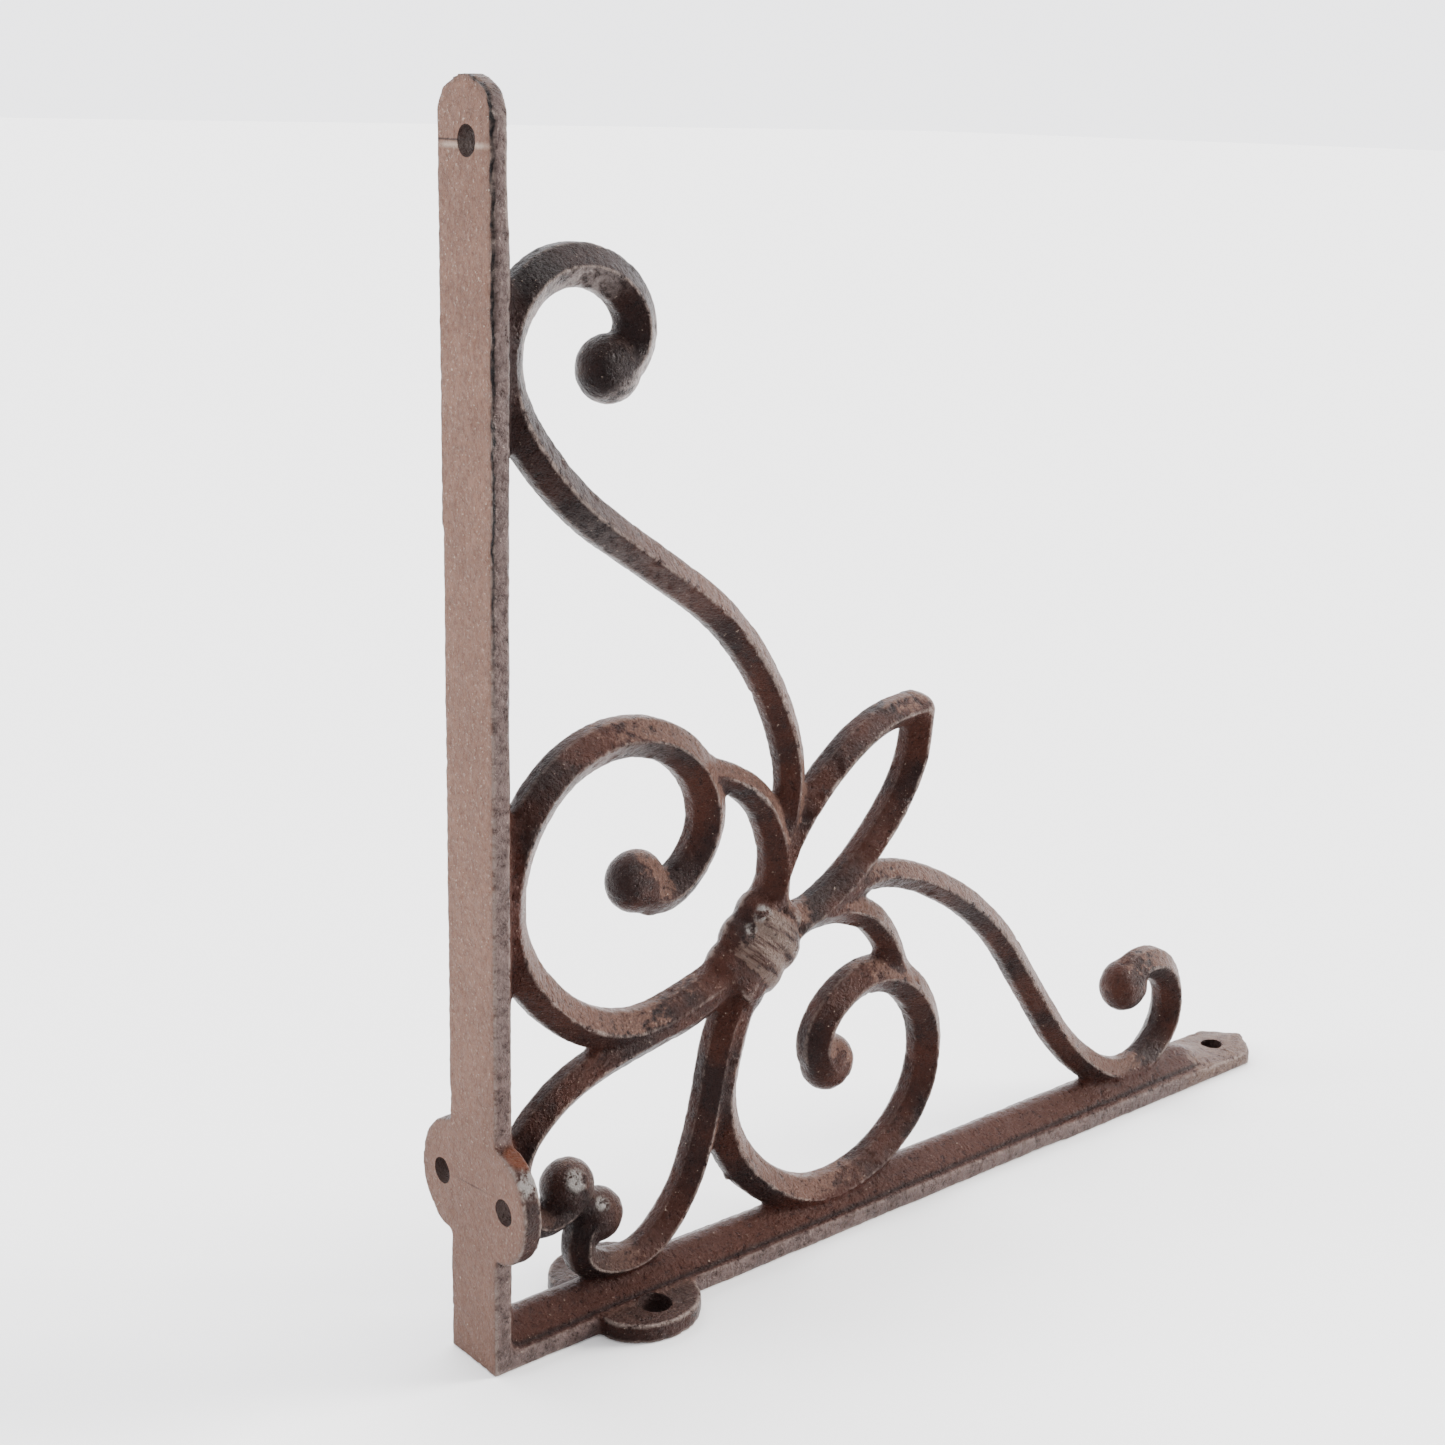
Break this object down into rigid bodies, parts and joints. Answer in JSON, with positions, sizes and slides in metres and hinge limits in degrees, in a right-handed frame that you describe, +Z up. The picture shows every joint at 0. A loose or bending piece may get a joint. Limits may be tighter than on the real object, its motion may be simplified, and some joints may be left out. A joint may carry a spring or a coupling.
{
  "type": "ornate cast iron shelf bracket",
  "caption": "Cast iron shelf bracket: equal legs at a right angle joined by scrolls, rings, a leaf and a bound collar, with screw holes in the leg tips and ears.",
  "frame": {"origin": "middle of the underside, which is the shelf leg's outer flat face, with the bracket standing on that leg as in the picture", "axes": "+Z up along the wall leg, +X along the shelf leg away from the corner, -X out of the wall leg's outer face, Y through the casting's thickness"},
  "size_m": [0.241, 0.0352, 0.241],
  "materials": {
    "cast_iron_patina": "dark brown rubbed patina over sand-cast iron, worn to grey on the crests"
  },
  "bodies": {
    "root": {"bracket": "cast_iron_patina"}
  },
  "joints": []
}
